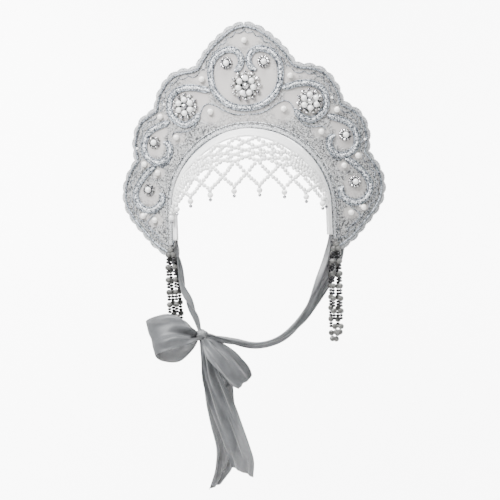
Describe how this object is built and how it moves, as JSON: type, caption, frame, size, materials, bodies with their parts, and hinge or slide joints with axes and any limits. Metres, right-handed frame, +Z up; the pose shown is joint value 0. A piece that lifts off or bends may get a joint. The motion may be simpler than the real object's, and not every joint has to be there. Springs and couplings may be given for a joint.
{
  "type": "kokoshnik headdress",
  "caption": "Stiff scalloped crest bent round the head, with gimp scrolls, pearl flowers, a beaded forehead net, side strings and ribbon ties in a bow.",
  "frame": {"origin": "underside of the headband at the top of the arch, under the crest's front face, where it sits on the crown of a head", "axes": "+Z up, +X to the wearer's left, -Y out of the wearer's face"},
  "size_m": [0.2552, 0.0838, 0.4438],
  "materials": {
    "fabric": "ivory brocade",
    "lace": "silver-white lace",
    "satin": "white satin",
    "gimp": "silver braid",
    "pearl": "pearl lustre",
    "silver": "polished silver",
    "ribbon": "semi-sheer ribbon"
  },
  "bodies": {
    "root": {"crest_panel": "fabric", "lace_edging": "lace", "arch_piping": "gimp", "headband": "satin", "heart_braid": "gimp", "upper_scroll_right": "gimp", "middle_scroll_right": "gimp", "lower_scroll_right": "gimp", "upper_scroll_left": "gimp", "middle_scroll_left": "gimp", "lower_scroll_left": "gimp", "pearl_top": "pearl", "pearl_right_1": "pearl", "pearl_right_2": "pearl", "pearl_right_3": "pearl", "pearl_right_4": "pearl", "pearl_right_5": "pearl", "pearl_right_6": "pearl", "pearl_right_7": "pearl", "pearl_right_8": "pearl", "pearl_left_1": "pearl", "pearl_left_2": "pearl", "pearl_left_3": "pearl", "pearl_left_4": "pearl", "pearl_left_5": "pearl", "pearl_left_6": "pearl", "pearl_left_7": "pearl", "pearl_left_8": "pearl", "rosette_right_1": "silver", "rosette_right_2": "silver", "rosette_right_3": "silver", "rosette_left_1": "silver", "rosette_left_2": "silver", "rosette_left_3": "silver", "flower_centre": "pearl", "flower_right": "pearl", "flower_left": "pearl", "bead_net": "pearl", "pendant_right": "pearl", "pendant_left": "pearl", "strap_right": "ribbon", "strap_left": "ribbon", "bow_knot": "ribbon", "bow_loop_left": "ribbon", "bow_loop_right": "ribbon", "tail_left": "ribbon", "tail_right": "ribbon"}
  },
  "joints": []
}
